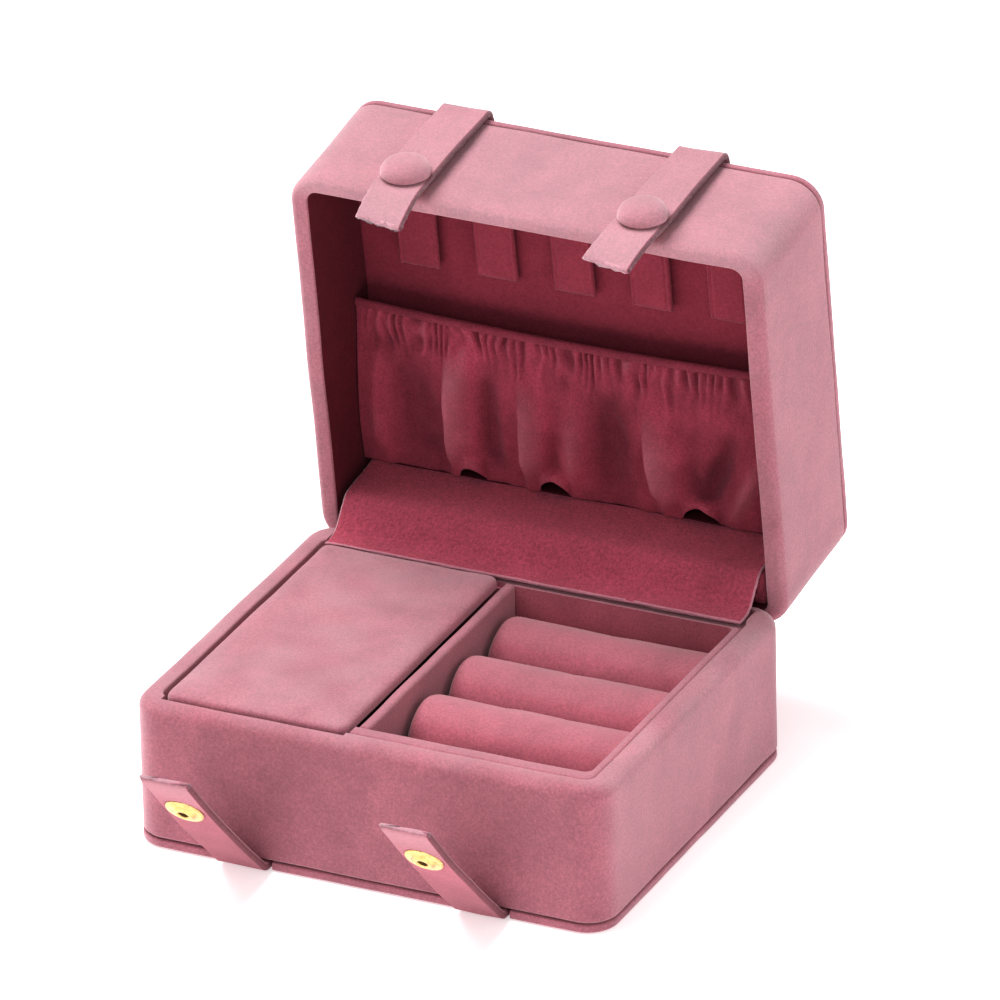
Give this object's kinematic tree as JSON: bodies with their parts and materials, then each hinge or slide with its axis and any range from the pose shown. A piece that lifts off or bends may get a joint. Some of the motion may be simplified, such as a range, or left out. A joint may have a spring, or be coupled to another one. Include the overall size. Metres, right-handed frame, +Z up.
{
  "type": "jewelry box",
  "caption": "Fabric-covered travel jewelry box, hinged lid open, with a covered compartment, ring rolls, gathered lid pocket, necklace tabs and snap straps.",
  "frame": {"origin": "centre of the base's underside, on the surface it stands on", "axes": "+Z up, +X to the right seen from the front, front of the box at -Y, lid hinge at +Y"},
  "size_m": [0.105, 0.1572, 0.1226],
  "materials": {
    "suede": "soft dusty rose microsuede over board",
    "lining": "soft microsuede lining",
    "plush": "coarse napped lining over foam",
    "board": "raw grey board",
    "foam": "soft filler",
    "brass": "polished gold plate"
  },
  "bodies": {
    "base": {"base_shell": "suede", "base_panel": "suede", "tray_walls": "suede", "tray_floor": "board", "divider": "suede", "compartment_pad": "lining", "ring_roll_1": "plush", "ring_roll_2": "plush", "ring_roll_3": "plush", "ring_roll_4": "plush", "back_lining": "plush", "flap_anchor_left": "suede", "flap_anchor_right": "suede", "spine_base": "suede"},
    "compartment_cover": {"cover_board": "board", "cover_pad": "suede", "cover_lining": "lining"},
    "hinge_cloth": {"hinge_cloth": "plush"},
    "lid": {"lid_shell": "suede", "lid_top": "suede", "lid_lining": "lining", "lid_panel": "lining", "lid_filler": "foam", "lid_back_pad": "plush", "pocket_front": "lining", "pocket_elastic": "lining", "pocket_base": "lining", "tab_header": "lining", "tab_snap_1": "brass", "tab_snap_2": "brass", "tab_snap_3": "brass", "tab_snap_4": "brass", "tab_snap_5": "brass", "strap_mount_left": "suede", "strap_mount_right": "suede", "spine_lid": "suede"},
    "lid_strap_left": {"lid_strap_left": "suede", "snap_button_left": "suede", "snap_stud_left": "brass"},
    "lid_strap_right": {"lid_strap_right": "suede", "snap_button_right": "suede", "snap_stud_right": "brass"},
    "base_flap_left": {"base_flap_left": "suede", "snap_socket_left": "brass", "snap_rivet_left": "brass"},
    "base_flap_right": {"base_flap_right": "suede", "snap_socket_right": "brass", "snap_rivet_right": "brass"},
    "necklace_tab_1": {"necklace_tab_1": "lining"},
    "necklace_tab_2": {"necklace_tab_2": "lining"},
    "necklace_tab_3": {"necklace_tab_3": "lining"},
    "necklace_tab_4": {"necklace_tab_4": "lining"},
    "necklace_tab_5": {"necklace_tab_5": "lining"}
  },
  "joints": [
    {"name": "lid_hinge", "type": "hinge", "parent": "base", "child": "lid", "pos_m": [0, 0.0417, 0.02935], "axis": [1, 0, 0], "range_deg": [0, 82.2]},
    {"name": "hinge_cloth_fold", "type": "hinge", "parent": "base", "child": "hinge_cloth", "pos_m": [0, 0.04, 0.03275], "axis": [1, 0, 0], "range_deg": [0, 119.8]},
    {"name": "cover_hinge", "type": "hinge", "parent": "base", "child": "compartment_cover", "pos_m": [0, 0.0337, 0.033], "axis": [1, 0, 0], "range_deg": [-78, 0]},
    {"name": "lid_strap_left_bend", "type": "hinge", "parent": "lid", "child": "lid_strap_left", "pos_m": [0, 0.06388, 0.12055], "axis": [1, 0, 0], "range_deg": [-55, 0]},
    {"name": "lid_strap_right_bend", "type": "hinge", "parent": "lid", "child": "lid_strap_right", "pos_m": [0, 0.06388, 0.12055], "axis": [1, 0, 0], "range_deg": [-55, 0]},
    {"name": "base_flap_left_bend", "type": "hinge", "parent": "base", "child": "base_flap_left", "pos_m": [0, -0.04575, 0.0012], "axis": [1, 0, 0], "range_deg": [-44, 42]},
    {"name": "base_flap_right_bend", "type": "hinge", "parent": "base", "child": "base_flap_right", "pos_m": [0, -0.04575, 0.0012], "axis": [1, 0, 0], "range_deg": [-44, 42]},
    {"name": "necklace_tab_1_bend", "type": "hinge", "parent": "lid", "child": "necklace_tab_1", "pos_m": [0, 0.05493, 0.11221], "axis": [1, 0, 0], "range_deg": [-60, 0]},
    {"name": "necklace_tab_2_bend", "type": "hinge", "parent": "lid", "child": "necklace_tab_2", "pos_m": [0, 0.05493, 0.11221], "axis": [1, 0, 0], "range_deg": [-60, 0]},
    {"name": "necklace_tab_3_bend", "type": "hinge", "parent": "lid", "child": "necklace_tab_3", "pos_m": [0, 0.05493, 0.11221], "axis": [1, 0, 0], "range_deg": [-60, 0]},
    {"name": "necklace_tab_4_bend", "type": "hinge", "parent": "lid", "child": "necklace_tab_4", "pos_m": [0, 0.05493, 0.11221], "axis": [1, 0, 0], "range_deg": [-60, 0]},
    {"name": "necklace_tab_5_bend", "type": "hinge", "parent": "lid", "child": "necklace_tab_5", "pos_m": [0, 0.05493, 0.11221], "axis": [1, 0, 0], "range_deg": [-60, 0]}
  ],
  "couplings": [
    {"joint": "hinge_cloth_fold", "follows": "lid_hinge", "ratio": 1.456}
  ]
}
